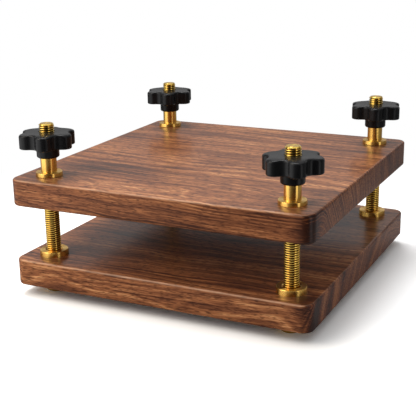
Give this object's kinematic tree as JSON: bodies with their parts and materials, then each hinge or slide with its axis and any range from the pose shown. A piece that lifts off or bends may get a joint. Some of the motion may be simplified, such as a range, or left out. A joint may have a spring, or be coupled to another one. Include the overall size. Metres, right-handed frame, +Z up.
{
  "type": "paper flattening press",
  "caption": "Screw press for flattening paper: a wooden platen drawn down to a wooden base on threaded brass studs by black star knobs.",
  "frame": {"origin": "on the surface it stands on, under the middle of the press", "axes": "+X to the right along the front edge, +Y to the back, +Z up"},
  "size_m": [0.25, 0.25, 0.1375],
  "materials": {
    "base_walnut": "satin oiled walnut, grain along X",
    "platen_walnut": "satin oiled walnut, grain along X",
    "thread_brass": "bright, threaded",
    "turned_brass": "bright, turned",
    "bush_bronze": "plain sintered",
    "knob_plastic": "satin moulded"
  },
  "bodies": {
    "base": {"base_board": "base_walnut", "stud_front_left": "thread_brass", "base_flange_front_left": "turned_brass", "foot_front_left": "turned_brass", "stud_front_right": "thread_brass", "base_flange_front_right": "turned_brass", "foot_front_right": "turned_brass", "stud_back_left": "thread_brass", "base_flange_back_left": "turned_brass", "foot_back_left": "turned_brass", "stud_back_right": "thread_brass", "base_flange_back_right": "turned_brass", "foot_back_right": "turned_brass"},
    "platen": {"platen_board": "platen_walnut", "platen_bush_front_left": "bush_bronze", "platen_bush_front_right": "bush_bronze", "platen_bush_back_left": "bush_bronze", "platen_bush_back_right": "bush_bronze"},
    "knob_set_front_left": {"knob_front_left": "knob_plastic", "knob_nut_front_left": "turned_brass", "sleeve_front_left": "turned_brass", "collar_front_left": "turned_brass"},
    "knob_set_front_right": {"knob_front_right": "knob_plastic", "knob_nut_front_right": "turned_brass", "sleeve_front_right": "turned_brass", "collar_front_right": "turned_brass"},
    "knob_set_back_left": {"knob_back_left": "knob_plastic", "knob_nut_back_left": "turned_brass", "sleeve_back_left": "turned_brass", "collar_back_left": "turned_brass"},
    "knob_set_back_right": {"knob_back_right": "knob_plastic", "knob_nut_back_right": "turned_brass", "sleeve_back_right": "turned_brass", "collar_back_right": "turned_brass"}
  },
  "joints": [
    {"name": "platen_lift", "type": "slide", "parent": "base", "child": "platen", "axis": [0, 0, 1], "range_m": [-0.04375, 0.007]},
    {"name": "knob_turn_front_left", "type": "hinge", "parent": "platen", "child": "knob_set_front_left", "pos_m": [-0.102, -0.102, 0.122], "axis": [0, 0, 1], "range_deg": [-9001, 1441]},
    {"name": "knob_turn_front_right", "type": "hinge", "parent": "platen", "child": "knob_set_front_right", "pos_m": [0.102, -0.102, 0.122], "axis": [0, 0, 1], "range_deg": [-9001, 1441]},
    {"name": "knob_turn_back_left", "type": "hinge", "parent": "platen", "child": "knob_set_back_left", "pos_m": [-0.102, 0.102, 0.122], "axis": [0, 0, 1], "range_deg": [-9001, 1441]},
    {"name": "knob_turn_back_right", "type": "hinge", "parent": "platen", "child": "knob_set_back_right", "pos_m": [0.102, 0.102, 0.122], "axis": [0, 0, 1], "range_deg": [-9001, 1441]}
  ],
  "couplings": [
    {"joint": "knob_turn_front_left", "follows": "platen_lift", "rad_per_m": 3590.4},
    {"joint": "knob_turn_front_right", "follows": "platen_lift", "rad_per_m": 3590.4},
    {"joint": "knob_turn_back_left", "follows": "platen_lift", "rad_per_m": 3590.4},
    {"joint": "knob_turn_back_right", "follows": "platen_lift", "rad_per_m": 3590.4}
  ]
}
